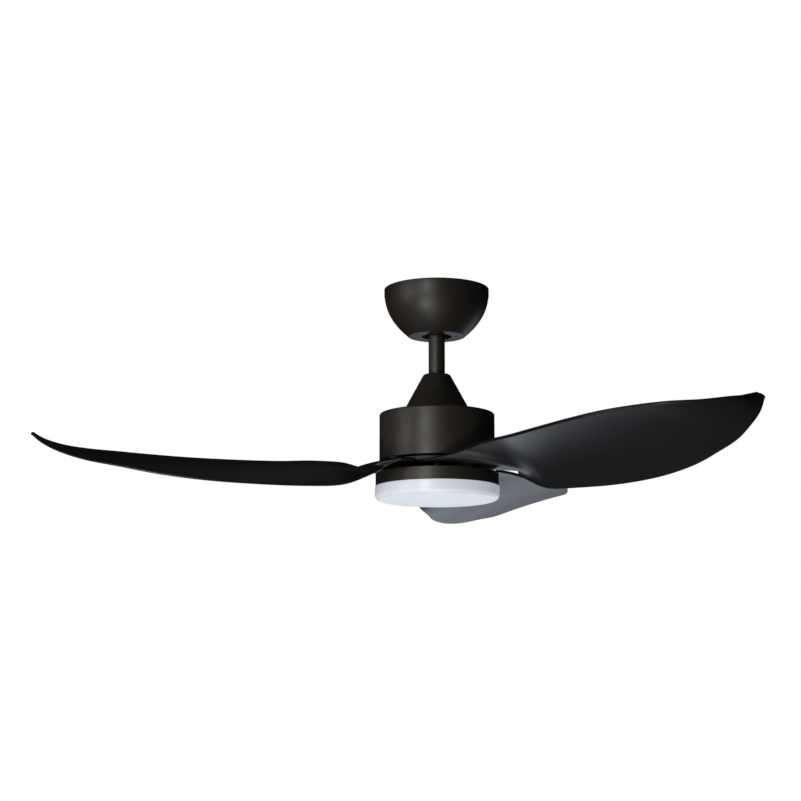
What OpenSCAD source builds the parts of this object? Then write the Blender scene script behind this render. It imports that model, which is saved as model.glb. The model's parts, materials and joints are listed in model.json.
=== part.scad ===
// Three-blade ceiling fan with a round light, hung on a ball-and-socket downrod.
// Origin: centre of the ceiling plane. +Z points up, the fan hangs below. Millimetres.

/* [Canopy] */
// Outside diameter of the canopy at the ceiling
canopy_d = 163; // [160:1:170]
// Height of the canopy below the ceiling
canopy_h = 75; // [73:1:78]
// Sheet thickness of the canopy
canopy_t = 1.2; // [1:0.1:1.6]
// Spacing of the two ceiling screws in the hanger bracket
bracket_pitch = 92; // [90:1:96]

/* [Downrod] */
// Outside diameter of the downrod
rod_d = 25.4; // [25:0.1:26]
// Wall thickness of the downrod
rod_t = 1.8; // [1.6:0.1:2]
// Diameter of the hanger ball
ball_d = 52; // [51:0.5:52.5]
// Depth of the ball centre below the ceiling
ball_z = 40; // [39:1:41]

/* [Motor] */
// Outside diameter of the motor housing
housing_d = 177.4; // [176:0.2:180]
// Height of the motor housing
housing_h = 73.5; // [73:0.5:74.5]
// Number of stator teeth
teeth = 12; // [9:3:12]
// Number of rotor magnets
magnets = 10; // [8:2:10]

/* [Blades] */
// Number of blades
blades = 3; // [3:1:3]
// Azimuth of the first blade, degrees from +X
blade_azimuth = -52.6; // [-60:0.1:-45]
// Thickness of the blade root plate
plate_t = 3.4; // [3:0.1:3.6]
// Extra thickness of the blade at mid chord
blade_belly = 2; // [1:0.1:3]

/* [Light] */
// Outside diameter of the light ring
ring_d = 189; // [188:0.5:190]
// Height of the light ring
ring_h = 20.2; // [20:0.1:20.4]
// Outside diameter of the diffuser
lens_d = 191; // [190:0.5:192]
// Depth of the diffuser below the ring
lens_h = 20.6; // [20:0.1:22]
// Number of chips in the outer circle of the light board
led_count = 24; // [18:6:30]

/* [View] */
// Sub-part to show, or all

/* [Hidden] */
$fn = 72;
canopy_r = canopy_d / 2;
rod_r = rod_d / 2;
ball_r = ball_d / 2;
zb = -ball_z;
hr = housing_d / 2;
z_house = -197.5;
z_house_bot = z_house - housing_h;
z_plate = -280.5;
z_ring = -290;
z_ring_bot = z_ring - ring_h;
ring_r = ring_d / 2;
lens_r = lens_d / 2;
z_lens_top = z_ring_bot - 0.2;
z_lens = z_lens_top - lens_h + 0.2;
shaft_r = 10;
steel = [0.13, 0.12, 0.115];
zinc = [0.7, 0.7, 0.72];
plastic_black = [0.05, 0.052, 0.058];

// ---------- helpers ----------
module at(r, a) { rotate([0, 0, a]) translate([r, 0, 0]) children(); }
module ring_of(n, r, a0 = 0) { for (i = [0 : n - 1]) at(r, a0 + i * 360 / n) children(); }
// tube between two heights
module tube(ro, ri, z0, z1) {
  difference() {
    translate([0, 0, z0]) cylinder(r = ro, h = z1 - z0);
    translate([0, 0, z0 - 1]) cylinder(r = ri, h = z1 - z0 + 2);
  }
}
module rod(r, z0, z1) { translate([0, 0, z0]) cylinder(r = r, h = z1 - z0); }
// arc of profile points, centre c, radius r, angles a0 to a1
function arc(c, r, a0, a1, n) = [for (i = [0 : n]) let (a = a0 + (a1 - a0) * i / n) c + r * [cos(a), sin(a)]];
function rev(l) = [for (i = [len(l) - 1 : -1 : 0]) l[i]];
function lerp(a, b, t) = a + (b - a) * t;
// straight screw: pan head at the top of its axis, shank below
module pan_screw(rs, len, rh, hh) {
  cylinder(r = rs, h = len, $fn = 32);
  translate([0, 0, -hh]) difference() {
    cylinder(r = rh, h = hh, $fn = 32);
    for (a = [0, 90]) rotate([0, 0, a]) translate([-rh * 0.6, -rs * 0.18, -0.1]) cube([rh * 1.2, rs * 0.36, hh * 0.5]);
  }
}

// ---------- ceiling mount ----------
module hanger_bracket() {
  color(steel) difference() {
    union() {
      translate([-54, -18, -2.5]) cube([108, 36, 2.5]);
      translate([-22, 17, -2.5]) cube([44, 24, 2.5]);
      for (s = [-1, 1]) translate([s > 0 ? 31.5 : -34, -15, zb - 22]) cube([2.5, 30, 19.5 - zb]);
      for (s = [-1, 1]) translate([s > 0 ? 54 : -56.5, -10, -18]) cube([2.5, 20, 18]);
      rod(34, zb - 22, zb - 6);
    }
    translate([0, 0, zb]) sphere(r = ball_r + 3);
    rod(17.5, zb - 24, zb);
    translate([-14.5, -40, zb - 24]) cube([29, 40, 20]);
    for (s = [-1, 1]) translate([s * bracket_pitch / 2, 0, -4]) cylinder(r = 3.25, h = 6);
    rod(11, -4, 1);
    translate([0, 14.5, -4]) cylinder(r = 2.05, h = 6, $fn = 32);
    for (x = [-14, 14]) translate([x, 30, -4]) cylinder(r = 1.6, h = 6, $fn = 32);
    for (s = [-1, 1]) translate([s * 28, 0, zb]) rotate([0, 90 * s, 0]) cylinder(r = 3.05, h = 8);
    for (s = [-1, 1]) translate([s * 57, 0, -9]) rotate([0, -90 * s, 0]) cylinder(r = 2.05, h = 6, $fn = 32);
  }
}
// canopy outline, d inside its skin: rim, bowl wall, then a round corner into the flat bottom disc
cz = -canopy_h;
wall_foot = 44.5;
wall_phi = atan((canopy_r - wall_foot) * 2.4 / (canopy_h - 1));
wall_h = canopy_h - 4 * (1 - sin(wall_phi));
function canopy_out(d) = let (rf = wall_foot - d * cos(wall_phi), h = wall_h - d * sin(wall_phi)) concat(
  [[canopy_r - d - 0.6, 0], [canopy_r - d, -1.2]],
  [for (i = [0 : 15]) let (t = 0.05 + 0.95 * i / 16) [rf + (canopy_r - d - rf) * (1 - pow(t, 2.4)), -h * t]],
  arc([wall_foot - 4 * cos(wall_phi), cz + 4], 4 - d, -wall_phi, -90, 5));
// countersunk screw pointing along +Z, head face at zero, g wider all round when used as a seat
module sunk_screw(g, len) {
  cylinder(r1 = 3.9 + g, r2 = 2 + g, h = 1.1, $fn = 32);
  if (g > 0) translate([0, 0, -3]) cylinder(r = 3.9 + g, h = 3.01, $fn = 32);
  cylinder(r = 2 + g, h = len, $fn = 32);
}
module canopy() {
  color(steel) difference() {
    rotate_extrude() polygon(concat(canopy_out(0), [[22.5, cz], [22.5, cz + canopy_t]], rev(canopy_out(canopy_t))));
    for (s = [-1, 1]) translate([s * (canopy_r - 0.15), 0, -9]) rotate([0, -90 * s, 0]) sunk_screw(0.07, 8);
  }
}
module canopy_screws() {
  color(steel) for (s = [-1, 1]) translate([s * (canopy_r - 0.15), 0, -9]) rotate([0, -90 * s, 0]) difference() {
    sunk_screw(0, canopy_r - 53.2);
    for (a = [0, 90]) rotate([0, 0, a]) translate([-2.4, -0.4, -0.1]) cube([4.8, 0.8, 0.7]);
  }
}
module terminal_block() {
  color([0.85, 0.85, 0.83]) difference() {
    translate([-19, 22, -15.5]) cube([38, 16, 13]);
    for (x = [-12, 0, 12]) translate([x, 21, -9]) rotate([-90, 0, 0]) cylinder(r = 2.2, h = 18, $fn = 32);
    for (x = [-14, 14]) translate([x, 30, -5]) cylinder(r = 1.6, h = 6, $fn = 32);
    for (x = [-12, 0, 12]) translate([x, 30, -16]) cylinder(r = 1.8, h = 4, $fn = 32);
  }
}
module earth_screw() {
  color([0.2, 0.5, 0.25]) translate([0, 14.5, -2.55]) pan_screw(2, 2.5, 3.6, 2);
}

// ---------- swinging hanger ----------
module ball_liner() {
  color([0.85, 0.84, 0.8]) difference() {
    intersection() {
      translate([0, 0, zb]) sphere(r = ball_r + 2.7);
      rod(40, zb - 21, zb + 5);
    }
    translate([0, 0, zb]) sphere(r = ball_r + 0.3);
    rod(17, zb - 30, zb - 10);
  }
  color([0.85, 0.84, 0.8]) for (s = [-1, 1]) translate([s * (ball_r + 1.5), 0, zb]) rotate([0, 90 * s, 0]) cylinder(r = 3, h = 6.4);
}
module hanger_ball() {
  color([0.08, 0.08, 0.08]) difference() {
    translate([0, 0, zb]) sphere(r = ball_r);
    rod(rod_r + 0.05, zb - 30, zb + 30);
    translate([-30, -3.2, zb + 12.8]) cube([60, 6.4, 20]);
    translate([0, 0, zb]) rotate([-90, 0, 0]) cylinder(r = 2.55, h = 40, $fn = 32);
  }
}
module downrod() {
  color(steel) difference() {
    tube(rod_r, rod_r - rod_t, -177, zb + 21);
    for (z = [zb + 16, -160]) translate([-20, 0, z]) rotate([0, 90, 0]) cylinder(r = 3.05, h = 40);
    translate([0, 8, zb]) rotate([-90, 0, 0]) cylinder(r = 2.55, h = 8, $fn = 32);
    for (s = [-1, 1]) translate([0, s * 8, -170]) rotate([-90 * s, 0, 0]) cylinder(r = 2.55, h = 8, $fn = 32);
  }
}
module upper_cross_pin() {
  color(zinc) difference() {
    translate([-19, 0, zb + 16]) rotate([0, 90, 0]) cylinder(r = 3, h = 38);
    translate([16.5, 0, zb + 10]) cylinder(r = 0.9, h = 12, $fn = 32);
  }
}
module clip() {
  color(zinc) {
    translate([0, 0, -3.15]) cylinder(r = 0.8, h = 7.15, $fn = 32);
    translate([0, 0, 6]) rotate([90, 0, 0]) rotate_extrude() translate([2.4, 0]) circle(r = 0.8, $fn = 24);
  }
}
module upper_pin_clip() { translate([16.5, 0, zb + 16]) clip(); }
module rod_set_screw() {
  color(zinc) translate([0, 13.2, zb]) rotate([-90, 0, 0]) difference() {
    translate([0, 0, -3]) cylinder(r = 2.5, h = 11.5, $fn = 32);
    translate([0, 0, 6]) cylinder(r = 1.3, h = 4, $fn = 6);
  }
}
module motor_yoke() {
  color(zinc) difference() {
    union() { rod(17, -190, -150); rod(34, z_house, -190); }
    rod(rod_r + 0.05, -178, -149);
    rod(7.2, -200, -170);
    translate([-20, 0, -160]) rotate([0, 90, 0]) cylinder(r = 3.05, h = 40);
    for (s = [-1, 1]) translate([0, s * 9, -170]) rotate([-90 * s, 0, 0]) cylinder(r = 2.55, h = 10, $fn = 32);
    ring_of(4, 26, 45) rod(2.6, -200, -185, $fn = 32);
  }
}
module lower_cross_pin() {
  color(zinc) difference() {
    translate([-19.5, 0, -160]) rotate([0, 90, 0]) cylinder(r = 3, h = 43);
    translate([20.8, 0, -166]) cylinder(r = 0.9, h = 12, $fn = 32);
  }
}
module lower_pin_clip() { translate([20.8, 0, -160]) clip(); }
module yoke_set_screws() {
  color(zinc) for (s = [-1, 1]) translate([0, s * 10.4, -170]) rotate([-90 * s, 0, 0]) difference() {
    cylinder(r = 2.5, h = 9, $fn = 32);
    translate([0, 0, 6.5]) cylinder(r = 1.3, h = 4, $fn = 6);
  }
}
cover_top = -135;
module cover_grommet() {
  color([0.03, 0.03, 0.03]) rotate_extrude() polygon([[rod_r + 0.05, cover_top - 6], [16.5, cover_top - 6], [16.5, cover_top - 1.3],
    [14.6, cover_top - 1.3], [14.6, cover_top - 0.1], [rod_r + 0.05, cover_top - 0.1]]);
}
// conical cover: rounded shoulder, then a straight cone to the housing
function cover_out(d) = concat(arc([22.4 - 5, cover_top - 5], 5 - d, 90, 26, 6), [[54 - d, z_house]]);
module coupling_cover() {
  color(steel) rotate_extrude() polygon(concat([[14.7, cover_top]], cover_out(0), rev(cover_out(1.2)), [[14.7, cover_top - 1.2]]));
}
module motor_housing() {
  color(steel) difference() {
    rotate_extrude() polygon(concat([[13, z_house]], arc([hr - 2.5, z_house - 2.5], 2.5, 90, 0, 6), [[hr, z_house_bot], [hr - 1.5, z_house_bot]],
      arc([hr - 2.5, z_house - 2.5], 1, 0, 90, 4), [[13, z_house - 1.5]]));
    ring_of(4, 26, 45) rod(2.6, -200, -185, $fn = 32);
  }
}
module housing_screws() {
  color(zinc) ring_of(4, 26, 45) translate([0, 0, -190]) mirror([0, 0, 1]) pan_screw(2.5, 14, 4.5, 3);
}
module motor_shaft() {
  color(zinc) difference() {
    union() { rod(32, -204, z_house - 1.5); rod(shaft_r, -300, -204); }
    rod(7.2, -301, -190);
    ring_of(4, 26, 45) rod(2.6, -206, -195, $fn = 32);
  }
}
module supply_leads() {
  color([0.12, 0.12, 0.12]) translate([0, 4.9, 0]) rod(1.7, -299, -24, $fn = 32);
}
module stator_core() {
  color([0.45, 0.45, 0.47]) difference() {
    union() {
      rod(30, -246, -222);
      ring_of(teeth, 0) translate([27, -4.5, -246]) cube([36, 9, 24]);
      tube(67, 60, -246, -222);
    }
    rod(shaft_r + 0.02, -250, -218);
    ring_of(teeth, 0, 180 / teeth) translate([55, -2, -250]) cube([20, 4, 32]);
  }
}
module stator_windings() {
  color([0.6, 0.3, 0.15]) ring_of(teeth, 0) difference() {
    translate([33, -8, -250]) cube([25, 16, 32]);
    translate([32, -4.7, -246.2]) cube([27, 9.4, 24.4]);
  }
}

// ---------- bearings ----------
module bearing_inner(z) {
  color(zinc) rotate_extrude() difference() {
    translate([shaft_r + 0.02, z]) square([4.4, 8]);
    translate([17, z + 4]) circle(r = 3.4, $fn = 48);
  }
}
module bearing_outer(z) {
  color(zinc) rotate_extrude() difference() {
    translate([19.6, z]) square([4.4, 8]);
    translate([17, z + 4]) circle(r = 3.05, $fn = 48);
  }
}
module bearing_balls(z) { color(zinc) ring_of(8, 17) translate([0, 0, z + 4]) sphere(r = 3, $fn = 24); }
module upper_bearing_inner() { bearing_inner(-215); }
module lower_bearing_inner() { bearing_inner(-264); }
module upper_bearing_outer() { bearing_outer(-215); }
module lower_bearing_outer() { bearing_outer(-264); }
module upper_bearing_balls() { bearing_balls(-215); }
module lower_bearing_balls() { bearing_balls(-264); }

// ---------- rotor ----------
module rotor_shell() {
  color([0.5, 0.5, 0.52]) difference() {
    union() { tube(76, 72.5, -258, -208); rod(76, -211, -208); rod(28, -217, -208); }
    rod(24.02, -220, -200);
    ring_of(6, 74.2, 30) rod(1.25, -259, -250, $fn = 32);
  }
}
module rotor_cap() {
  color(plastic_black) difference() {
    union() { rod(76, -262, -258); rod(28, -262, -255.5); rod(45, -273, -261); rod(80, z_plate + plate_t / 2, -273); }
    rod(24.02, -264, -250);
    rod(15, -290, -260);
    ring_of(6, 74.2, 30) rod(1.25, -263, -257, $fn = 32);
    root_holes() rod(2.3, -290, -268, $fn = 32);
  }
}
module rotor_magnets() {
  color([0.2, 0.2, 0.21]) ring_of(magnets, 0) rotate([0, 0, -160 / magnets]) rotate_extrude(angle = 320 / magnets) translate([68, -247]) square([4.45, 26]);
}
module rotor_screws() {
  color(zinc) ring_of(6, 74.2, 30) translate([0, 0, -262]) pan_screw(1.2, 11, 2.2, 1.6);
}

// ---------- blades ----------
// ribs from root to tip: leading edge x, y, z; trailing edge x, y, z; outward bulge; camber; half thickness
// z is measured from the root plate's middle
ribs = [
  [ 49, -71,  0,   41,  76,   0,  42,  0, 2.0],
  [ 64, -69, -1,   48,  91,   0,  43, -1, 2.0],
  [ 88, -64,  1,   68, 106,  -3,  41, -4, 2.1],
  [114, -53,  5,   87,  91, -11,  37, -6, 2.2],
  [144, -46, 11,  112,  92, -25,  28,  1, 2.3],
  [186, -52, 13,  152,  94, -40,  16,  9, 2.4],
  [245, -60, 12,  206, 104, -44,   6, 11, 2.4],
  [310, -64, 14,  275, 122, -45,   0, 10, 2.4],
  [380, -65, 17,  350, 131, -42,   0,  9, 2.3],
  [440, -59, 20,  420, 130, -34,   0,  8, 2.2],
  [490, -44, 22,  480, 121, -22,   0,  6, 2.1],
  [530, -26, 23,  527, 109, -12,   0,  4, 2.0],
  [565,   4, 24,  565,  95,   1,   1,  2, 1.8],
  [591,  32, 28,  590,  86,  14,   3,  1, 1.6],
  [606,  62, 34,  606,  78,  29,   3,  0, 1.3]];
nr = len(ribs) - 1;
function rb(i) = i < 0 ? 2 * ribs[0] - ribs[1] : i > nr ? 2 * ribs[nr] - ribs[nr - 1] : ribs[i];
// smooth curve through the ribs
function rib(s) = let (i = min(nr - 1, floor(s)), t = s - i, a = rb(i - 1), b = rb(i), c = rb(i + 1), d = rb(i + 2))
  0.5 * (2 * b + (c - a) * t + (2 * a - 5 * b + 4 * c - d) * t * t + (3 * b - a - 3 * c + d) * t * t * t);
kb = sin(59.5);
function bulge(v) = (sqrt(1 - pow(kb * (2 * v - 1), 2)) - sqrt(1 - kb * kb)) / (1 - sqrt(1 - kb * kb));
function surf(s, v) = let (q = rib(s), l = [q[0], q[1], q[2]], t = [q[3], q[4], q[5]], d = t - l, n = [d[1], -d[0], 0] / norm([d[0], d[1]]))
  l + d * v + n * q[6] * bulge(v) + [0, 0, 4 * q[7] * v * (1 - v)];
function nrm(s, v) = let (e = 0.02, a = surf(min(nr, s + e), v) - surf(max(0, s - e), v), b = surf(s, min(1, v + e)) - surf(s, max(0, v - e)), c = cross(a, b)) c / norm(c);
function half_t(s, v) = let (k = min(1, s / 4)) rib(s)[8] + k * (blade_belly / 2 * sin(180 * v) - 0.8 * v);
nu = 36;
nv = 12;
function vv(j) = let (t = j / nv) t + 0.08 * sin(360 * t) * -1;
function grid(k) = [for (i = [0 : nu]) for (j = [0 : nv]) let (s = nr * i / nu, v = vv(j)) surf(s, v) + k * half_t(s, v) * (i == 0 ? [0, 0, 1] : nrm(s, v))];
module blade_body() {
  m = nv + 1;
  o = (nu + 1) * m;
  polyhedron(points = concat(grid(1), grid(-1)), faces = concat(
    [for (i = [0 : nu - 1]) for (j = [0 : nv - 1]) for (f = [0, 1]) let (a = i * m + j, b = a + m) f == 0 ? [a, a + 1, b + 1] : [a, b + 1, b]],
    [for (i = [0 : nu - 1]) for (j = [0 : nv - 1]) for (f = [0, 1]) let (a = o + i * m + j, b = a + m) f == 0 ? [a, b + 1, a + 1] : [a, b, b + 1]],
    [for (i = [0 : nu - 1]) for (f = [0, 1]) let (a = i * m, b = a + m) f == 0 ? [a, b, b + o] : [a, b + o, a + o]],
    [for (i = [0 : nu - 1]) for (f = [0, 1]) let (a = i * m + nv, b = a + m) f == 0 ? [a, b + o, b] : [a, a + o, b + o]],
    [for (j = [0 : nv - 1]) for (f = [0, 1]) f == 0 ? [j, j + 1 + o, j + 1] : [j, j + o, j + 1 + o]],
    [for (j = [0 : nv - 1]) for (f = [0, 1]) let (a = nu * m + j) f == 0 ? [a, a + 1, a + 1 + o] : [a, a + 1 + o, a + o]]));
}
// three screws hold each root plate to the rotor
module root_holes() {
  for (b = [0 : blades - 1]) rotate([0, 0, blade_azimuth + 120 * b + 3.2]) for (p = [[66, -38], [66, 38], [50, 0]]) rotate([0, 0, p[1]]) translate([p[0], 0, 0]) children();
}
module blade() {
  difference() {
    union() {
      rotate([0, 0, 3.2 - 58.6]) rotate_extrude(angle = 117.2) translate([30, z_plate - plate_t / 2]) square([59, plate_t]);
      translate([0, 0, z_plate]) blade_body();
    }
    for (p = [[66, -38], [66, 38], [50, 0]]) rotate([0, 0, p[1] + 3.2]) translate([p[0], 0, 0]) rod(2.6, -290, -270, $fn = 32);
  }
}
module blade_1() { color(plastic_black) rotate([0, 0, blade_azimuth]) blade(); }
module blade_2() { color(plastic_black) rotate([0, 0, blade_azimuth + 120]) blade(); }
module blade_3() { color(plastic_black) rotate([0, 0, blade_azimuth + 240]) blade(); }
module blade_washers() {
  color(steel) root_holes() tube(5, 2.6, z_plate - plate_t / 2 - 0.8, z_plate - plate_t / 2, $fn = 32);
}
module blade_screws() {
  color(steel) root_holes() translate([0, 0, z_plate - plate_t / 2 - 0.8]) pan_screw(2.25, 11, 4.2, 2.6);
}

// ---------- light ----------
module light_mount_plate() {
  color(zinc) difference() {
    rod(58, z_ring - 4, z_ring - 1.5);
    rod(shaft_r + 0.1, -300, -285);
    ring_of(3, 30, 90) rod(2.1, -300, -285, $fn = 32);
    ring_of(3, 50, 30) rod(1.6, -300, -285, $fn = 32);
    translate([0, -20, -300]) cylinder(r = 5, h = 15, $fn = 32);
  }
}
module light_pan() {
  color(steel) difference() {
    union() {
      rotate_extrude() polygon(concat([[11, z_ring]], arc([ring_r - 1.5, z_ring - 1.5], 1.5, 90, 0, 4), [[ring_r, z_ring_bot], [ring_r - 1.5, z_ring_bot],
        [ring_r - 1.5, z_ring - 1.5], [11, z_ring - 1.5]]));
      for (a = [0, 120, 240]) rotate([0, 0, a]) rotate_extrude(angle = 14) translate([ring_r - 4.5, z_ring_bot + 0.8]) square([3.5, 1.2]);
    }
    ring_of(3, 30, 90) rod(2.1, -300, -285, $fn = 32);
  }
}
module light_pan_screws() {
  color(zinc) ring_of(3, 30, 90) translate([0, 0, z_ring - 4]) pan_screw(2, 4.4, 3.8, 2.2);
}
module shaft_nut() {
  color(zinc) difference() {
    translate([0, 0, -299]) cylinder(r = 15, h = 5, $fn = 6);
    rod(shaft_r + 0.02, -300, -290);
  }
}
module led_driver() {
  color([0.9, 0.9, 0.88]) difference() {
    translate([-32, 35, -303.5]) cube([64, 20, 9.5]);
    for (s = [-1, 1]) translate([s * 33, 45, -298]) rotate([0, -90 * s, 0]) cylinder(r = 2, h = 5, $fn = 32);
  }
}
z_board = -305;
module led_standoffs() {
  color(zinc) ring_of(3, 50, 30) tube(3, 1.6, z_board, z_ring - 4, $fn = 32);
}
module led_board() {
  color([0.92, 0.92, 0.9]) difference() {
    rod(82, z_board - 1.6, z_board);
    ring_of(3, 50, 30) rod(1.6, -310, -300, $fn = 32);
    rod(4, -310, -300, $fn = 32);
  }
}
module led_chips() {
  color([0.95, 0.9, 0.55]) for (q = [[led_count, 72], [led_count / 2, 40]]) ring_of(q[0], q[1], 7) translate([-1.75, -1.4, z_board - 2.4]) cube([3.5, 2.8, 0.8]);
}
module led_board_screws() {
  color(zinc) ring_of(3, 50, 30) translate([0, 0, z_board - 1.6]) pan_screw(1.5, 12, 2.8, 1.6);
}
// diffuser: side wall, rounded lower edge, flat bottom and an inner bayonet lip
function lens_out(d) = concat([[lens_r - d, z_lens_top]], arc([lens_r - 8, z_lens + 8], 8 - d, 0, -90, 8), [[0, z_lens + d]]);
module diffuser() {
  color([0.93, 0.94, 0.97]) {
    rotate_extrude() polygon(concat([[ring_r - 6.5, z_lens_top + 2.9], [ring_r - 4.9, z_lens_top + 2.9], [ring_r - 4.9, z_lens_top]], lens_out(0), rev(lens_out(2)), [[lens_r - 2, z_lens_top - 2], [ring_r - 6.5, z_lens_top - 2]]));
    for (a = [0, 120, 240]) rotate([0, 0, a]) rotate_extrude(angle = 14) translate([ring_r - 5.2, z_lens_top + 2.5]) square([3.3, 1.2]);
  }
}

hanger_bracket();
canopy();
canopy_screws();
terminal_block();
earth_screw();
ball_liner();
hanger_ball();
downrod();
upper_cross_pin();
upper_pin_clip();
rod_set_screw();
motor_yoke();
lower_cross_pin();
lower_pin_clip();
yoke_set_screws();
cover_grommet();
coupling_cover();
motor_housing();
housing_screws();
motor_shaft();
supply_leads();
stator_core();
stator_windings();
upper_bearing_inner();
lower_bearing_inner();
rotor_shell();
rotor_cap();
rotor_magnets();
rotor_screws();
upper_bearing_outer();
lower_bearing_outer();
upper_bearing_balls();
lower_bearing_balls();
blade_1();
blade_2();
blade_3();
blade_washers();
blade_screws();
light_mount_plate();
light_pan();
light_pan_screws();
shaft_nut();
led_driver();
led_standoffs();
led_board();
led_chips();
led_board_screws();
diffuser();
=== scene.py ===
import json
import math

import bmesh
import bpy
import numpy as np
from mathutils import Matrix, Vector


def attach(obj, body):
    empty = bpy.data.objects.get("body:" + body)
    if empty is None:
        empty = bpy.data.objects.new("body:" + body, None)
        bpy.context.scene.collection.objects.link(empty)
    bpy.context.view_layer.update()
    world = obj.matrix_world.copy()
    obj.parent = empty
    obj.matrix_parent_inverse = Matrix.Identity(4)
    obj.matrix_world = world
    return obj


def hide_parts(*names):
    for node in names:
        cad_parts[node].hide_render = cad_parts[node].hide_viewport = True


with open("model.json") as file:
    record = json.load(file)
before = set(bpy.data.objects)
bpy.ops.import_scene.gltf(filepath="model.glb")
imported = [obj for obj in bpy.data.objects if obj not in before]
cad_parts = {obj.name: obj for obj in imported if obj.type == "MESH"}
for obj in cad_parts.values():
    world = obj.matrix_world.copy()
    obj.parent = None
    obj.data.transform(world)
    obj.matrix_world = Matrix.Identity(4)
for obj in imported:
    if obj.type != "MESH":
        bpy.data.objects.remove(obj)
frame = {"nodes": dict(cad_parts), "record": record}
sc = bpy.context.scene
sc.view_settings.view_transform = "Standard"
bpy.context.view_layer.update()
MM = 0.001


# ------------------------------------------------------------------ camera, light and floor
def basis(right, up, back, loc):
    m = Matrix((right, up, back)).transposed().to_4x4()
    m.translation = Vector(loc)
    return m


yaw, pitch = math.radians(-1.0993), math.radians(10.2242)
cy, sy, cp, sp = math.cos(yaw), math.sin(yaw), math.cos(pitch), math.sin(pitch)
cam_data = bpy.data.cameras.new("camera")
cam_data.sensor_width = 36.0
cam_data.lens = 36.0 * 1927.0 / 801.0
cam_data.clip_end = 100.0
cam = bpy.data.objects.new("camera", cam_data)
sc.collection.objects.link(cam)
cam.matrix_world = basis((cy, -sy, 0.0), (-sy * sp, -cy * sp, cp), (-sy * cp, -cy * cp, -sp), (0.0, -2.93034, -0.70397))
sc.camera = cam


def light(name, loc, target, size, size_y, watts, color=(1, 1, 1), spread=math.pi):
    d = bpy.data.lights.new(name, "AREA")
    d.shape = "RECTANGLE"
    d.size, d.size_y = size, size_y
    d.energy = watts
    d.color = color
    d.spread = spread
    o = bpy.data.objects.new(name, d)
    sc.collection.objects.link(o)
    z = (Vector(loc) - Vector(target)).normalized()
    x = Vector((0, 0, 1)).cross(z).normalized()
    o.matrix_world = basis(x, z.cross(x), z, loc)
    return o


light("low_key", (-0.80, -1.65, -1.45), (0.0, 0.0, -0.38), 0.36, 0.5, 2.0, (1.0, 0.985, 0.965), math.radians(60))
light("front_left", (-0.90, -2.25, 0.0), (0.0, 0.0, -0.25), 0.55, 0.55, 1.9, (1.0, 0.97, 0.93), math.radians(60))
light("side_strip", (-2.30, -1.10, -0.20), (0.0, 0.0, -0.22), 0.8, 1.0, 1.5, (1.0, 0.97, 0.93), math.radians(60))
light("back_sweep", (1.15, 3.1, -1.22), (0.1, 0.0, -0.30), 3.4, 0.6, 11.5, (0.82, 0.89, 1.0))
light("under_soft", (0.0, -0.2, -1.70), (0.0, 0.0, -0.33), 0.5, 0.5, 0.95, (0.98, 0.99, 1.0), math.radians(60))
light("top_soft", (0.3, 1.2, 2.0), (0.0, 0.0, -0.3), 2.0, 2.0, 0.9)

world = bpy.data.worlds.new("studio")
sc.world = world
world.use_nodes = True
wt = world.node_tree
wt.nodes.clear()
w_out = wt.nodes.new("ShaderNodeOutputWorld")
w_mix = wt.nodes.new("ShaderNodeMixShader")
w_lp = wt.nodes.new("ShaderNodeLightPath")
w_dim = wt.nodes.new("ShaderNodeBackground")
w_dim.inputs["Color"].default_value = (0.86, 0.89, 0.95, 1)
w_dim.inputs["Strength"].default_value = 0.010
w_white = wt.nodes.new("ShaderNodeBackground")
w_white.inputs["Color"].default_value = (1, 1, 1, 1)
w_white.inputs["Strength"].default_value = 1.0
wt.links.new(w_lp.outputs["Is Camera Ray"], w_mix.inputs[0])
wt.links.new(w_dim.outputs[0], w_mix.inputs[1])
wt.links.new(w_white.outputs[0], w_mix.inputs[2])
wt.links.new(w_mix.outputs[0], w_out.inputs["Surface"])


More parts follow.
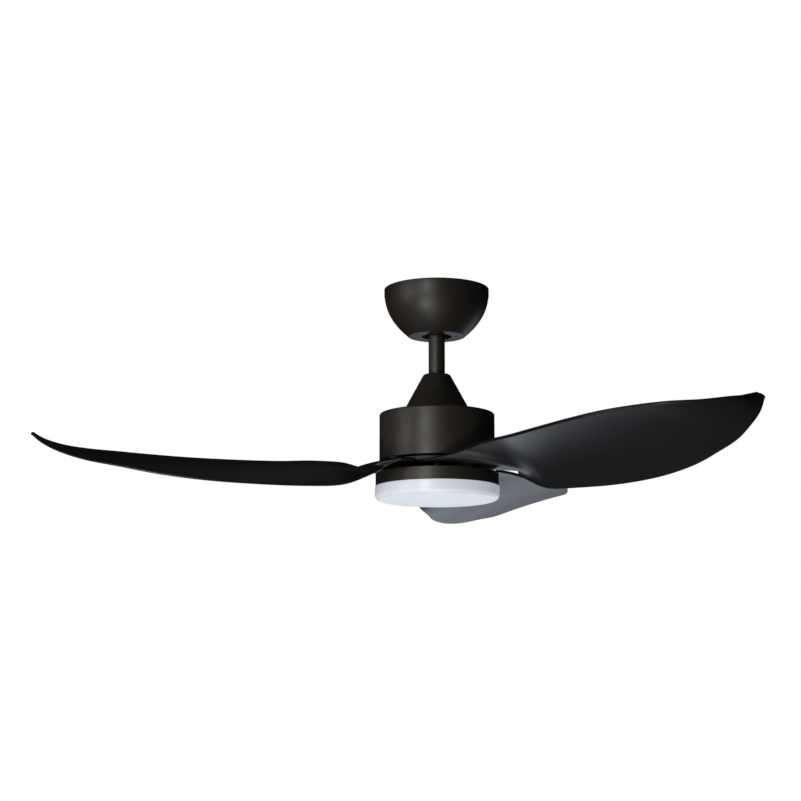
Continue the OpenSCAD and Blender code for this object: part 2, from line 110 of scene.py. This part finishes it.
# ------------------------------------------------------------------ materials
def material(name, base, rough, metallic=0.0, spread=0.25, grain=0.6, bump=0.12, wear=0.0, wear_color=(0.2, 0.2, 0.2), stretch=None, coat=0.0, sub=0.0, spec=0.5, rough_spread=0.08, coarse=18.0, painted_glow=0.0):
    """Procedural surface: two scales of colour drift, a fine grain bump (grain in mm), optional wear on convex edges
    and an optional painted glow (emission on a part that is no lamp).
    """
    m = bpy.data.materials.new(name)
    m.use_nodes = True
    t = m.node_tree
    t.nodes.clear()
    out = t.nodes.new("ShaderNodeOutputMaterial")
    b = t.nodes.new("ShaderNodeBsdfPrincipled")
    t.links.new(b.outputs[0], out.inputs["Surface"])
    b.inputs["Metallic"].default_value = metallic
    b.inputs["Specular IOR Level"].default_value = spec
    b.inputs["Coat Weight"].default_value = coat
    b.inputs["Coat Roughness"].default_value = 0.12
    # painted glow: emission makes this surface shine evenly as if lit, though the part is not a lamp
    if painted_glow:
        b.inputs["Emission Color"].default_value = (0.90, 0.945, 1.0, 1)
        b.inputs["Emission Strength"].default_value = painted_glow
    if sub:
        b.inputs["Subsurface Weight"].default_value = sub
        b.inputs["Subsurface Radius"].default_value = (0.012, 0.012, 0.013)
        b.inputs["Subsurface Scale"].default_value = 0.4
    co = t.nodes.new("ShaderNodeTexCoord")
    mp = t.nodes.new("ShaderNodeMapping")
    t.links.new(co.outputs["Object"], mp.inputs["Vector"])
    if stretch:
        mp.inputs["Scale"].default_value = stretch
    big = t.nodes.new("ShaderNodeTexNoise")
    big.inputs["Scale"].default_value = coarse
    big.inputs["Detail"].default_value = 4.0
    fine = t.nodes.new("ShaderNodeTexNoise")
    fine.inputs["Scale"].default_value = 1000.0 / grain
    fine.inputs["Detail"].default_value = 3.0
    t.links.new(mp.outputs[0], big.inputs["Vector"])
    t.links.new(mp.outputs[0], fine.inputs["Vector"])
    mixv = t.nodes.new("ShaderNodeMath")
    mixv.operation = "MULTIPLY_ADD"
    mixv.inputs[1].default_value = 0.45
    t.links.new(fine.outputs["Fac"], mixv.inputs[0])
    half = t.nodes.new("ShaderNodeMath")
    half.operation = "MULTIPLY"
    half.inputs[1].default_value = 0.55
    t.links.new(big.outputs["Fac"], half.inputs[0])
    t.links.new(half.outputs[0], mixv.inputs[2])
    ramp = t.nodes.new("ShaderNodeValToRGB")
    ramp.color_ramp.elements[0].position = 0.3
    ramp.color_ramp.elements[1].position = 0.7
    ramp.color_ramp.elements[0].color = tuple(c * (1 - spread) for c in base) + (1,)
    ramp.color_ramp.elements[1].color = tuple(min(1.0, c * (1 + spread)) for c in base) + (1,)
    t.links.new(mixv.outputs[0], ramp.inputs["Fac"])
    rr = t.nodes.new("ShaderNodeMapRange")
    rr.inputs["From Min"].default_value = 0.3
    rr.inputs["From Max"].default_value = 0.7
    rr.inputs["To Min"].default_value = max(0.02, rough - rough_spread)
    rr.inputs["To Max"].default_value = min(1.0, rough + rough_spread)
    t.links.new(mixv.outputs[0], rr.inputs["Value"])
    t.links.new(rr.outputs[0], b.inputs["Roughness"])
    colour = ramp.outputs["Color"]
    if wear:
        geo = t.nodes.new("ShaderNodeNewGeometry")
        edge = t.nodes.new("ShaderNodeMapRange")
        edge.inputs["From Min"].default_value = 0.53
        edge.inputs["From Max"].default_value = 0.62
        edge.inputs["To Max"].default_value = wear
        t.links.new(geo.outputs["Pointiness"], edge.inputs["Value"])
        mx = t.nodes.new("ShaderNodeMix")
        mx.data_type = "RGBA"
        t.links.new(edge.outputs[0], mx.inputs["Factor"])
        t.links.new(ramp.outputs["Color"], mx.inputs["A"])
        mx.inputs["B"].default_value = wear_color + (1,)
        colour = mx.outputs["Result"]
    t.links.new(colour, b.inputs["Base Color"])
    bp = t.nodes.new("ShaderNodeBump")
    bp.inputs["Strength"].default_value = bump
    bp.inputs["Distance"].default_value = 0.0004
    t.links.new(fine.outputs["Fac"], bp.inputs["Height"])
    t.links.new(bp.outputs[0], b.inputs["Normal"])
    return m


M = {
    "bronze_paint": material("bronze_paint", (0.0225, 0.0192, 0.0155), 0.44, metallic=0.0, spread=0.24, grain=1.3, bump=0.36, wear=0.2, wear_color=(0.05, 0.045, 0.04)),
    "zinc_steel": material("zinc_steel", (0.50, 0.51, 0.53), 0.34, metallic=1.0, spread=0.12, grain=0.8, bump=0.08, stretch=(1, 1, 6)),
    "bracket_black": material("bracket_black", (0.025, 0.025, 0.026), 0.38, spread=0.2, grain=0.8, bump=0.12, wear=0.5, wear_color=(0.3, 0.3, 0.3)),
    "black_screw": material("black_screw", (0.02, 0.02, 0.021), 0.4, spread=0.2, grain=0.6, bump=0.1, wear=0.3, wear_color=(0.12, 0.12, 0.12)),
    "rotor_black": material("rotor_black", (0.012, 0.012, 0.0125), 0.55, spread=0.2, grain=0.9, bump=0.25),
    "earth_paint": material("earth_paint", (0.05, 0.22, 0.08), 0.4, spread=0.2, grain=1.0),
    "terminal_plastic": material("terminal_plastic", (0.55, 0.55, 0.52), 0.5, spread=0.06, grain=0.7),
    "liner_nylon": material("liner_nylon", (0.50, 0.48, 0.42), 0.45, spread=0.06, grain=0.7, sub=0.1),
    "ball_plastic": material("ball_plastic", (0.018, 0.018, 0.019), 0.3, spread=0.15, grain=0.6, bump=0.06),
    "grommet_rubber": material("grommet_rubber", (0.014, 0.014, 0.014), 0.7, spread=0.2, grain=0.5),
    "lead_sheath": material("lead_sheath", (0.03, 0.03, 0.03), 0.5, spread=0.2, grain=0.9, stretch=(1, 1, 0.2)),
    "lamination_steel": material("lamination_steel", (0.26, 0.26, 0.28), 0.45, metallic=0.9, spread=0.2, grain=0.5, bump=0.3, stretch=(0.05, 0.05, 1)),
    "enamelled_copper": material("enamelled_copper", (0.45, 0.16, 0.05), 0.3, metallic=0.9, spread=0.25, grain=0.9, bump=0.5, stretch=(0.2, 0.2, 1), coat=0.3),
    "bearing_steel": material("bearing_steel", (0.62, 0.63, 0.65), 0.14, metallic=1.0, spread=0.05, grain=0.5, bump=0.02),
    "cast_aluminium": material("cast_aluminium", (0.42, 0.42, 0.44), 0.5, metallic=0.9, spread=0.12, grain=0.7, bump=0.25),
    "magnet_grey": material("magnet_grey", (0.10, 0.10, 0.11), 0.5, metallic=0.6, spread=0.2, grain=0.6, bump=0.2),
    "blade_plastic": material("blade_plastic", (0.0048, 0.0051, 0.0066), 0.36, spread=0.14, grain=0.5, bump=0.10, rough_spread=0.04, coarse=9.0),
    "driver_case": material("driver_case", (0.66, 0.66, 0.63), 0.5, spread=0.05, grain=0.6),
    "board_white": material("board_white", (0.74, 0.74, 0.72), 0.35, spread=0.04, grain=1.2, bump=0.04),
    "led_phosphor": material("led_phosphor", (0.80, 0.62, 0.14), 0.45, spread=0.08, grain=0.4),
    # opal lens: its emission is a painted glow standing in for light on the unlit lens, evening out its brightness
    "diffuser_opal": material("diffuser_opal", (0.46, 0.48, 0.52), 0.34, spread=0.015, grain=1.4, bump=0.012, sub=0.5, rough_spread=0.03, painted_glow=0.37),
}
slots = {s["node"]: s["material_slot"] for s in frame["record"]["subparts"]}


def smooth(o, angle=32.0):
    """Smooth faces with sharp edges where two faces meet at more than angle."""
    bm = bmesh.new()
    bm.from_mesh(o.data)
    lim = math.radians(angle)
    for f in bm.faces:
        f.smooth = True
    for e in bm.edges:
        e.smooth = len(e.link_faces) == 2 and e.calc_face_angle(0.0) < lim
    bm.to_mesh(o.data)
    bm.free()


for n, o in frame["nodes"].items():
    o.data.materials.clear()
    o.data.materials.append(M[slots[n]])


def new_object(name, verts, faces, mat, body, stands_for=(), angle=32.0, slot=None):
    me = bpy.data.meshes.new(name)
    me.from_pydata([tuple(v) for v in verts], [], [tuple(f) for f in faces])
    me.update()
    o = bpy.data.objects.new(name, me)
    sc.collection.objects.link(o)
    bm = bmesh.new()
    bm.from_mesh(me)
    bmesh.ops.remove_doubles(bm, verts=bm.verts, dist=1e-7)
    bmesh.ops.recalc_face_normals(bm, faces=bm.faces)
    bm.to_mesh(me)
    bm.free()
    smooth(o, angle)
    me.materials.append(M[mat])
    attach(o, body)
    if stands_for:
        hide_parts(*stands_for)
    return o


def arc(cx, cz, r, a0, a1, n):
    return [(cx + r * math.cos(math.radians(a0 + (a1 - a0) * i / n)), cz + r * math.sin(math.radians(a0 + (a1 - a0) * i / n))) for i in range(n + 1)]


def lathe(profile, segs=192, close=True):
    """Profile of (r, z) in mm turned about Z. Points on the axis become one vertex."""
    verts, faces, rows = [], [], []
    for r, z in profile:
        if r < 1e-6:
            rows.append([len(verts)] * segs)
            verts.append((0, 0, z * MM))
        else:
            rows.append(list(range(len(verts), len(verts) + segs)))
            verts += [(r * MM * math.cos(2 * math.pi * k / segs), r * MM * math.sin(2 * math.pi * k / segs), z * MM) for k in range(segs)]
    n = len(rows)
    for i in range(n if close else n - 1):
        a, b = rows[i], rows[(i + 1) % n]
        for k in range(segs):
            k2 = (k + 1) % segs
            f = []
            for v in (a[k], a[k2], b[k2], b[k]):
                if v not in f:
                    f.append(v)
            if len(f) > 2:
                faces.append(f)
    return verts, faces


# ------------------------------------------------------------------ turned pieces
def canopy_profile():
    R, H, foot, fr = 81.5, 75.0, 44.5, 4.0
    phi = math.atan((R - foot) * 2.4 / (H - 1))
    out = [(R - 0.5, -0.05), (R - 0.12, -0.35), (R, -0.9), (R, -2.0)]

    def wall(d, n):
        rf, h = foot - d * math.cos(phi), H - fr * (1 - math.sin(phi)) - d * math.sin(phi)
        return [(rf + (R - d - rf) * (1 - t ** 2.4), -h * t) for t in (0.05 + 0.95 * i / n for i in range(n))]

    out += wall(0.0, 48) + arc(foot - fr * math.cos(phi), -H + fr, fr, -math.degrees(phi), -90, 12)
    out += arc(22.5 + 0.6, -H + 0.6, 0.6, -90, -180, 4)
    inn = [(79.7, -0.05), (80.3, -1.2)] + wall(1.2, 24)
    inn += arc(foot - fr * math.cos(phi), -H + fr, fr - 1.2, -math.degrees(phi), -90, 6) + [(22.5, -H + 1.2)]
    return out + inn[::-1]


new_object("canopy_shell", *lathe(canopy_profile(), 256), "bronze_paint", "mount", ["canopy"])
tube = [(12.7, -176.7), (12.7, -19.4), (12.4, -19.05), (10.9, -19.05), (10.9, -176.7), (12.4, -176.95)]
new_object("downrod_tube", *lathe(tube, 96), "bronze_paint", "hang", ["downrod"])
cone = arc(17.4, -140.0, 5.0, 90, 27.5, 10) + [(54.0 - 0.3, -197.5 + 0.9), (54.0, -197.45), (52.8, -197.45)]
cone += [(17.4 + 3.8 * math.cos(math.radians(27.5)), -140.0 + 3.8 * math.sin(math.radians(27.5))), (17.4, -136.2), (14.7, -136.2), (14.7, -135.3), (15.0, -135.0)]
new_object("coupling_cone", *lathe(cone, 192), "bronze_paint", "hang", ["coupling_cover"])
R = 88.7
house = [(13, -197.5)] + arc(R - 2.5, -200.0, 2.5, 90, 0, 10) + [(R, -235.0), (R, -270.2)] + arc(R - 0.6, -270.4, 0.6, 0, -90, 4)
house += [(R - 1.3, -271.0), (R - 1.5, -270.8)] + arc(R - 2.5, -200.0, 1.0, 0, 90, 5) + [(13, -199.0)]
new_object("motor_drum", *lathe(house, 256), "bronze_paint", "hang", ["motor_housing"])


def sector(r0, r1, z0, z1, a0, a1, segs=12):
    """Closed ring segment, as verts and faces."""
    v, f = [], []
    for i in range(segs + 1):
        a = math.radians(a0 + (a1 - a0) * i / segs)
        for r, z in ((r0, z0), (r1, z0), (r1, z1), (r0, z1)):
            v.append((r * MM * math.cos(a), r * MM * math.sin(a), z * MM))
    for i in range(segs):
        for k in range(4):
            f.append((4 * i + k, 4 * i + (k + 1) % 4, 4 * i + 4 + (k + 1) % 4, 4 * i + 4 + k))
    f += [(3, 2, 1, 0), (4 * segs, 4 * segs + 1, 4 * segs + 2, 4 * segs + 3)]
    return v, f


def join(*parts):
    v, f = [], []
    for pv, pf in parts:
        n = len(v)
        v += pv
        f += [tuple(i + n for i in q) for q in pf]
    return v, f


ring = [(11.0, -290.0)] + arc(93.0, -291.5, 1.5, 90, 0, 8) + [(94.5, -300.0), (94.5, -309.7)] + arc(94.0, -309.7, 0.5, 0, -90, 4)
ring += [(93.2, -310.2), (93.0, -310.0), (93.0, -291.5), (11.0, -291.5)]
tabs = [sector(90.0, 93.4, -309.4, -308.2, a, a + 14) for a in (0, 120, 240)]
new_object("light_ring", *join(lathe(ring, 256), *tabs), "bronze_paint", "hang", ["light_pan"])

LR, ZT, ZB = 95.5, -310.4, -330.8
lens = [(88.0, -307.5), (89.6, -307.5), (89.6, ZT)] + [(LR - 0.4, ZT)] + arc(LR - 0.4, ZT - 0.4, 0.4, 80, 0, 3) + [(LR, -316.0), (LR, -320.0)]
lens += arc(LR - 8, ZB + 8, 8, 0, -90, 20) + [(60.0, ZB), (30.0, ZB), (0.0, ZB), (0.0, ZB + 2), (30, ZB + 2), (60, ZB + 2)]
lens += arc(LR - 8, ZB + 8, 6, -90, 0, 12) + [(LR - 2, ZT - 2), (88.0, ZT - 2)]
lugs = [sector(89.3, 92.6, -307.9, -306.7, a, a + 14) for a in (0, 120, 240)]
new_object("diffuser_lens", *join(lathe(lens, 256), *lugs), "diffuser_opal", "diffuser", ["diffuser"], angle=40)

# ------------------------------------------------------------------ blades
RIBS = np.array([
    [49, -71, 0, 41, 76, 0, 42, 0, 2.0],
    [64, -69, -1, 48, 91, 0, 43, -1, 2.0],
    [88, -64, 1, 68, 106, -3, 41, -4, 2.1],
    [114, -53, 5, 87, 91, -11, 37, -6, 2.2],
    [144, -46, 11, 112, 92, -25, 28, 1, 2.3],
    [186, -52, 13, 152, 94, -40, 16, 9, 2.4],
    [245, -60, 12, 206, 104, -44, 6, 11, 2.4],
    [310, -64, 14, 275, 122, -45, 0, 10, 2.4],
    [380, -65, 17, 350, 131, -42, 0, 9, 2.3],
    [440, -59, 20, 420, 130, -34, 0, 8, 2.2],
    [490, -44, 22, 480, 121, -22, 0, 6, 2.1],
    [530, -26, 23, 527, 109, -12, 0, 4, 2.0],
    [565, 4, 24, 565, 95, 1, 1, 2, 1.8],
    [591, 32, 28, 590, 86, 14, 3, 1, 1.6],
    [606, 62, 34, 606, 78, 29, 3, 0, 1.3],
], float)
NR = len(RIBS) - 1
KB = math.sin(math.radians(59.5))
Z_PLATE = -280.5


def rb(i):
    return 2 * RIBS[0] - RIBS[1] if i < 0 else 2 * RIBS[NR] - RIBS[NR - 1] if i > NR else RIBS[i]


def rib(s):
    i = int(min(NR - 1, math.floor(s)))
    t = s - i
    a, b, c, d = rb(i - 1), rb(i), rb(i + 1), rb(i + 2)
    return 0.5 * (2 * b + (c - a) * t + (2 * a - 5 * b + 4 * c - d) * t * t + (3 * b - a - 3 * c + d) * t ** 3)


def bulge(v):
    k = math.sqrt(1 - KB * KB)
    return (math.sqrt(1 - (KB * (2 * v - 1)) ** 2) - k) / (1 - k)


def surf(s, v):
    q = rib(s)
    l, t = q[:3], q[3:6]
    d = t - l
    n = np.array([d[1], -d[0], 0.0]) / math.hypot(d[0], d[1])
    return l + d * v + n * q[6] * bulge(v) + np.array([0, 0, 4 * q[7] * v * (1 - v)])


def normal(s, v, e=0.02):
    a = surf(min(NR, s + e), v) - surf(max(0.0, s - e), v)
    b = surf(s, min(1.0, v + e)) - surf(s, max(0.0, v - e))
    c = np.cross(a, b)
    return c / np.linalg.norm(c)


def half_t(s, v):
    k = min(1.0, s / 4)
    return rib(s)[8] + k * (1.0 * math.sin(math.pi * v) - 0.8 * v)


def blade_mesh(nu=150, nv=44, er=0.8):
    """One skin: root plate in rings, then the ribs. Every row is a loop: top from front to back, rounded rear edge, underside, blunt front edge with rounded corners."""
    vs = [(1 - math.cos(math.pi * j / nv)) / 2 * 0.6 + 0.4 * j / nv for j in range(nv + 1)]
    rows = []

    def loop(top, bot, le_dir, te_dir, r):
        """le_dir and te_dir point out of the edge at this row; r is the corner radius."""
        pts = []
        n = len(top)
        lt, lb, tt, tb = top[0], bot[0], top[-1], bot[-1]
        up_l = (lt - lb) / np.linalg.norm(lt - lb)
        up_t = (tt - tb) / np.linalg.norm(tt - tb)
        for j in range(n):
            if j == 0:
                pts.append(lt - le_dir * r)
            elif j == n - 1:
                pts.append(tt - te_dir * r)
            else:
                pts.append(top[j])
        for a in (30, 60):
            c = tt - te_dir * r - up_t * r
            pts.append(c + te_dir * r * math.sin(math.radians(a)) + up_t * r * math.cos(math.radians(a)))
        pts.append(tt - up_t * r)
        pts.append(tb + up_t * r)
        for a in (60, 30):
            c = tb - te_dir * r + up_t * r
            pts.append(c + te_dir * r * math.sin(math.radians(a)) - up_t * r * math.cos(math.radians(a)))
        for j in range(n - 1, -1, -1):
            if j == 0:
                pts.append(lb - le_dir * r)
            elif j == n - 1:
                pts.append(tb - te_dir * r)
            else:
                pts.append(bot[j])
        for a in (30, 60):
            c = lb - le_dir * r + up_l * r
            pts.append(c + le_dir * r * math.sin(math.radians(a)) - up_l * r * math.cos(math.radians(a)))
        pts.append(lb + up_l * r)
        pts.append(lt - up_l * r)
        for a in (60, 30):
            c = lt - le_dir * r - up_l * r
            pts.append(c + le_dir * r * math.sin(math.radians(a)) + up_l * r * math.cos(math.radians(a)))
        return pts

    def unit(x):
        return x / np.linalg.norm(x)

    for k in range(8):
        rr = 30.0 + (83.0 - 30.0) * k / 7
        top, bot = [], []
        for v in vs:
            a = math.radians(3.2) + math.asin(KB * (2 * v - 1)) * 58.3 / 59.5
            p = np.array([rr * math.cos(a), rr * math.sin(a), 0.0])
            h = 1.7 + 0.3 * max(0, k - 5) / 2
            top.append(p + [0, 0, h])
            bot.append(p - [0, 0, h])
        rows.append(loop(top, bot, unit(top[0] - top[1]), unit(top[-1] - top[-2]), 0.5))
    for i in range(nu + 1):
        s = NR * (1 - (1 - i / nu) ** 1.15) if i < nu else NR
        top, bot = [], []
        for v in vs:
            p, h = surf(s, v), half_t(s, v)
            nn = np.array([0, 0, 1.0]) if s < 0.02 else normal(s, v)
            top.append(p + nn * h)
            bot.append(p - nn * h)
        ld, td = unit(surf(s, 0) - surf(s, 0.02)), unit(surf(s, 1) - surf(s, 0.98))
        rows.append(loop(top, bot, ld, td, min(er, 0.45 * half_t(s, 1.0))))
    m = len(rows[0])
    # rounded tip: two rows drawn in towards the middle of the thickness
    last = np.array(rows[-1])
    half = m // 2
    out = unit(surf(NR, 0.5) - surf(NR - 0.05, 0.5))
    mid = np.array([surf(NR, 0.5)] * m)
    ctr = last.copy()
    top_i = list(range(nv + 1))
    bot_i = list(range(nv + 6, 2 * nv + 7))
    for a, b in zip(top_i, bot_i[::-1]):
        c = (last[a] + last[b]) / 2
        ctr[a] = c
        ctr[b] = c
    for a in range(nv + 1, nv + 6):
        ctr[a] = (last[nv] + last[nv + 6]) / 2
    for a in range(2 * nv + 7, m):
        ctr[a] = (last[0] + last[2 * nv + 6]) / 2
    for a in (35, 65, 90):
        f, g = math.sin(math.radians(a)), math.cos(math.radians(a))
        rows.append(list(ctr + (last - ctr) * max(g, 0.04) + out * 1.3 * f))
    pts = [p * MM + np.array([0, 0, Z_PLATE * MM]) for row in rows for p in row]
    faces = []
    for i in range(len(rows) - 1):
        for j in range(m):
            j2 = (j + 1) % m
            faces.append((i * m + j, i * m + j2, (i + 1) * m + j2, (i + 1) * m + j))
    # close the inner end and the tip with strips across the thickness
    for base in (0, (len(rows) - 1) * m):
        a, b = list(range(0, half)), list(range(m - 1, half - 1, -1))
        for j in range(half - 1):
            faces.append((base + a[j], base + a[j + 1], base + b[j + 1], base + b[j]))
    return pts, faces


blade_pts, blade_faces = blade_mesh()
for i in range(3):
    a = math.radians(-52.6 + 120 * i)
    c, s = math.cos(a), math.sin(a)
    v = [(p[0] * c - p[1] * s, p[0] * s + p[1] * c, p[2]) for p in blade_pts]
    new_object("blade_skin_%d" % (i + 1), v, blade_faces, "blade_plastic", "rotor", ["blade_%d" % (i + 1)], angle=50)

# ------------------------------------------------------------------ floor
me = bpy.data.meshes.new("floor")
me.from_pydata([(-9, -9, -2.45), (9, -9, -2.45), (9, 9, -2.45), (-9, 9, -2.45)], [], [(0, 1, 2, 3)])
floor = bpy.data.objects.new("floor", me)
sc.collection.objects.link(floor)
me.materials.append(material("pale_floor", (0.78, 0.78, 0.77), 0.7, spread=0.02, grain=4.0, bump=0.02))
